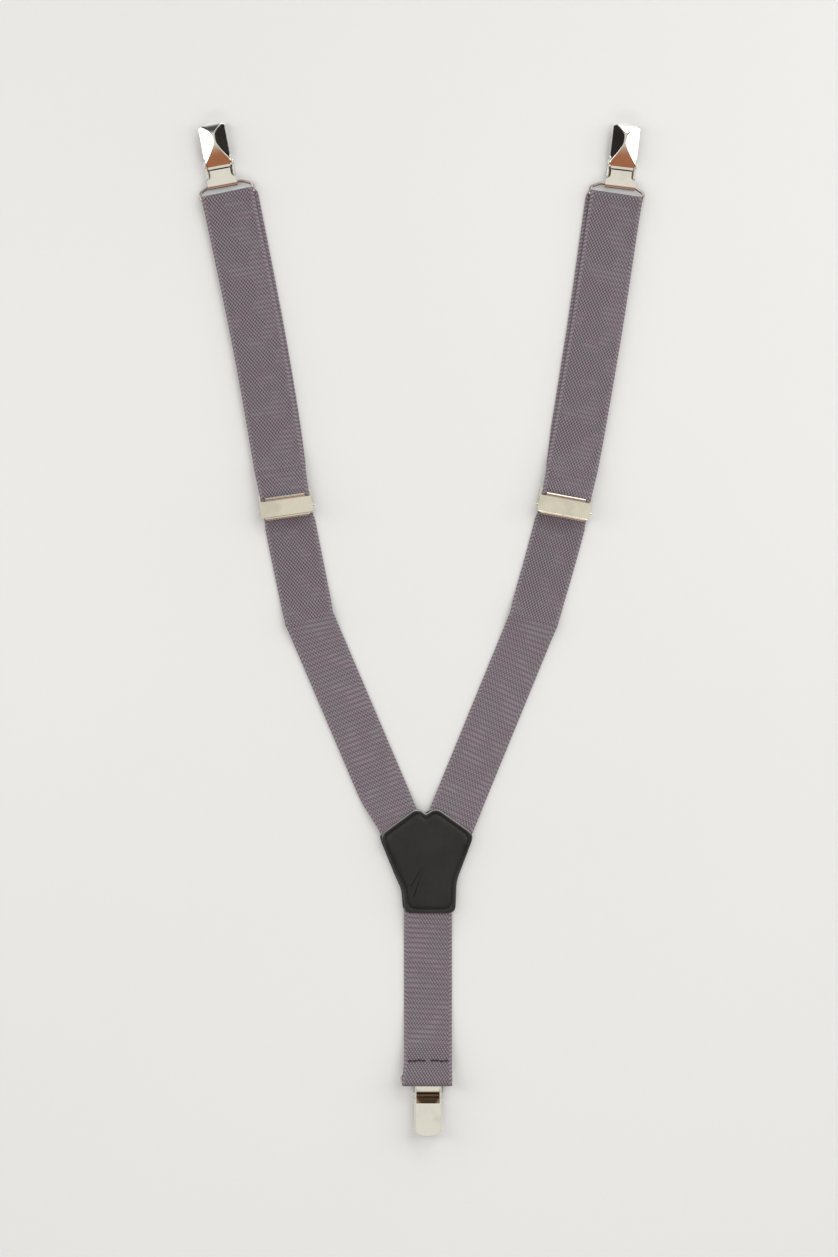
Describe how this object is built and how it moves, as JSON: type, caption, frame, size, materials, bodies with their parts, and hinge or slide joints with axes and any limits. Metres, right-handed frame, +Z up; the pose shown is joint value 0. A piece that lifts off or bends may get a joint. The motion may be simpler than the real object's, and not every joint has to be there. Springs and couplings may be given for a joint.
{
  "type": "suspenders",
  "caption": "Y-back clip-on suspenders: elastic webbing straps from a leather yoke, sliding adjusters, and lever clips on wire loops.",
  "frame": {"origin": "under the middle of the yoke, on the underside of its back leather, which lies on the ground", "axes": "+Y from the yoke towards the two front clips, +Z up out of the yoke's front face, +X to the right seen from above"},
  "size_m": [0.2325, 0.5284, 0.0094],
  "materials": {
    "webbing": "matte ribbed twill elastic",
    "leather": "smooth black, slight sheen",
    "yoke_thread": "black waxed thread",
    "strap_thread": "dark mauve thread",
    "clip_chrome": "mirror",
    "clip_nickel": "satin nickel plate",
    "adjuster_nickel": "satin nickel plate",
    "wire": "bright nickel wire",
    "grip_plastic": "matte"
  },
  "bodies": {
    "yoke": {"yoke_back_leather": "leather", "yoke_front_leather": "leather", "yoke_seam_thread": "yoke_thread", "left_strap_tail": "webbing", "right_strap_tail": "webbing", "back_strap_tail": "webbing"},
    "left_lower_strap": {"left_strap_lower": "webbing"},
    "left_upper_strap": {"left_strap_middle": "webbing"},
    "left_adjuster": {"left_adjuster_frame": "adjuster_nickel", "left_adjuster_pin": "adjuster_nickel", "left_strap_in_adjuster": "webbing", "left_strap_end_loop": "webbing", "left_end_seam_thread": "strap_thread"},
    "left_adjuster_lever": {"left_adjuster_lever": "adjuster_nickel"},
    "left_strap_top": {"left_strap_turn": "webbing", "left_strap_front": "webbing", "left_strap_return": "webbing"},
    "left_wire_loop": {"left_wire_loop": "wire"},
    "left_clip": {"left_clip_frame": "clip_nickel", "left_clip_pivot_pin": "clip_nickel", "left_clip_grip_pad": "grip_plastic"},
    "left_clip_lever": {"left_clip_lever": "clip_chrome"},
    "left_clip_jaw": {"left_clip_jaw": "clip_nickel"},
    "right_lower_strap": {"right_strap_lower": "webbing"},
    "right_upper_strap": {"right_strap_middle": "webbing"},
    "right_adjuster": {"right_adjuster_frame": "adjuster_nickel", "right_adjuster_pin": "adjuster_nickel", "right_strap_in_adjuster": "webbing", "right_strap_end_loop": "webbing", "right_end_seam_thread": "strap_thread"},
    "right_adjuster_lever": {"right_adjuster_lever": "adjuster_nickel"},
    "right_strap_top": {"right_strap_turn": "webbing", "right_strap_front": "webbing", "right_strap_return": "webbing"},
    "right_wire_loop": {"right_wire_loop": "wire"},
    "right_clip": {"right_clip_frame": "clip_nickel", "right_clip_pivot_pin": "clip_nickel", "right_clip_grip_pad": "grip_plastic"},
    "right_clip_lever": {"right_clip_lever": "clip_chrome"},
    "right_clip_jaw": {"right_clip_jaw": "clip_nickel"},
    "back_strap": {"back_strap": "webbing", "back_end_seam_thread": "strap_thread"},
    "back_wire_loop": {"back_wire_loop": "wire"},
    "back_clip": {"back_clip_frame": "clip_nickel", "back_clip_pivot_pin": "clip_nickel", "back_clip_grip_pad": "grip_plastic"},
    "back_clip_lever": {"back_clip_lever": "clip_chrome"},
    "back_clip_jaw": {"back_clip_jaw": "clip_nickel"}
  },
  "joints": [
    {"name": "left_strap_flex", "type": "hinge", "parent": "yoke", "child": "left_lower_strap", "pos_m": [-0.01774, 0.02418, 0.00215], "axis": [0.9199, 0.392, 0], "range_deg": [-90, 90]},
    {"name": "left_strap_fold", "type": "hinge", "parent": "left_lower_strap", "child": "left_upper_strap", "pos_m": [-0.0616, 0.1271, 0.00265], "axis": [-0.9781, -0.2079, 0], "range_deg": [-90, 90]},
    {"name": "left_adjuster_slide", "type": "slide", "parent": "left_upper_strap", "child": "left_adjuster", "axis": [-0.1865, 0.9825, 0], "range_m": [-0.025, 0.06], "deforming": ["left_strap_middle"]},
    {"name": "left_strap_take_up", "type": "slide", "parent": "left_adjuster", "child": "left_strap_top", "axis": [-0.1865, 0.9825, 0], "range_m": [-0.03, 0.0125], "deforming": ["left_strap_front", "left_strap_return"]},
    {"name": "left_adjuster_lever_tilt", "type": "hinge", "parent": "left_adjuster", "child": "left_adjuster_lever", "pos_m": [-0.07303, 0.18381, 0.00485], "axis": [0.9903, 0.1392, 0], "range_deg": [0, 35]},
    {"name": "left_loop_swing", "type": "hinge", "parent": "left_strap_top", "child": "left_wire_loop", "pos_m": [-0.1039, 0.3467, 0.00235], "axis": [-0.9816, -0.1908, 0], "range_deg": [-90, 90]},
    {"name": "left_clip_swing", "type": "hinge", "parent": "left_wire_loop", "child": "left_clip", "pos_m": [-0.10514, 0.35306, 0.00185], "axis": [0.9816, 0.1908, 0], "range_deg": [-90, 90]},
    {"name": "left_clip_lever_open", "type": "hinge", "parent": "left_clip", "child": "left_clip_lever", "pos_m": [-0.10869, 0.36399, 0.0036], "axis": [0.9833, 0.1822, 0], "range_deg": [0, 100]},
    {"name": "left_clip_jaw_open", "type": "hinge", "parent": "left_clip", "child": "left_clip_jaw", "pos_m": [-0.1096, 0.3689, 0.00145], "axis": [0.9833, 0.1822, 0], "range_deg": [0, 8]},
    {"name": "right_strap_flex", "type": "hinge", "parent": "yoke", "child": "right_lower_strap", "pos_m": [0.01406, 0.02583, 0.00215], "axis": [0.9254, -0.3789, 0], "range_deg": [-90, 90]},
    {"name": "right_strap_fold", "type": "hinge", "parent": "right_lower_strap", "child": "right_upper_strap", "pos_m": [0.0552, 0.1263, 0.00265], "axis": [-0.9781, 0.2079, 0], "range_deg": [-90, 90]},
    {"name": "right_adjuster_slide", "type": "slide", "parent": "right_upper_strap", "child": "right_adjuster", "axis": [0.1662, 0.9861, 0], "range_m": [-0.025, 0.06], "deforming": ["right_strap_middle"]},
    {"name": "right_strap_take_up", "type": "slide", "parent": "right_adjuster", "child": "right_strap_top", "axis": [0.1662, 0.9861, 0], "range_m": [-0.03, 0.0125], "deforming": ["right_strap_front", "right_strap_return"]},
    {"name": "right_adjuster_lever_tilt", "type": "hinge", "parent": "right_adjuster", "child": "right_adjuster_lever", "pos_m": [0.07088, 0.18382, 0.00485], "axis": [0.9833, -0.1822, 0], "range_deg": [0, 35]},
    {"name": "right_loop_swing", "type": "hinge", "parent": "right_strap_top", "child": "right_wire_loop", "pos_m": [0.0982, 0.3458, 0.00235], "axis": [-0.9893, 0.1461, 0], "range_deg": [-90, 90]},
    {"name": "right_clip_swing", "type": "hinge", "parent": "right_wire_loop", "child": "right_clip", "pos_m": [0.09915, 0.35221, 0.00185], "axis": [0.9893, -0.1461, 0], "range_deg": [-90, 90]},
    {"name": "right_clip_lever_open", "type": "hinge", "parent": "right_clip", "child": "right_clip_lever", "pos_m": [0.10139, 0.3634, 0.0036], "axis": [0.993, -0.1184, 0], "range_deg": [0, 100]},
    {"name": "right_clip_jaw_open", "type": "hinge", "parent": "right_clip", "child": "right_clip_jaw", "pos_m": [0.10198, 0.36836, 0.00145], "axis": [0.993, -0.1184, 0], "range_deg": [0, 8]},
    {"name": "back_strap_flex", "type": "hinge", "parent": "yoke", "child": "back_strap", "pos_m": [0.0003, -0.028, 0.00215], "axis": [-1, 0, 0], "range_deg": [-90, 90]},
    {"name": "back_loop_unfold", "type": "hinge", "parent": "back_strap", "child": "back_wire_loop", "pos_m": [0.0003, -0.1136, 0.00705], "axis": [-1, 0, 0], "range_deg": [0, 126]},
    {"name": "back_clip_swing", "type": "hinge", "parent": "back_wire_loop", "child": "back_clip", "pos_m": [0.0003, -0.1097, 0.00185], "axis": [-1, 0, 0], "range_deg": [-126, 0]},
    {"name": "back_clip_lever_open", "type": "hinge", "parent": "back_clip", "child": "back_clip_lever", "pos_m": [0.0003, -0.12123, 0.0018], "axis": [1, 0, 0], "range_deg": [0, 100]},
    {"name": "back_clip_jaw_open", "type": "hinge", "parent": "back_clip", "child": "back_clip_jaw", "pos_m": [0.0003, -0.12586, 0.00467], "axis": [1, 0, 0], "range_deg": [0, 8]}
  ],
  "couplings": [
    {"joint": "left_strap_take_up", "follows": "left_adjuster_slide", "ratio": -0.5},
    {"joint": "left_clip_jaw_open", "follows": "left_clip_lever_open", "ratio": 0.08},
    {"joint": "right_strap_take_up", "follows": "right_adjuster_slide", "ratio": -0.5},
    {"joint": "right_clip_jaw_open", "follows": "right_clip_lever_open", "ratio": 0.08},
    {"joint": "back_clip_swing", "follows": "back_loop_unfold", "ratio": -1},
    {"joint": "back_clip_jaw_open", "follows": "back_clip_lever_open", "ratio": 0.08}
  ]
}
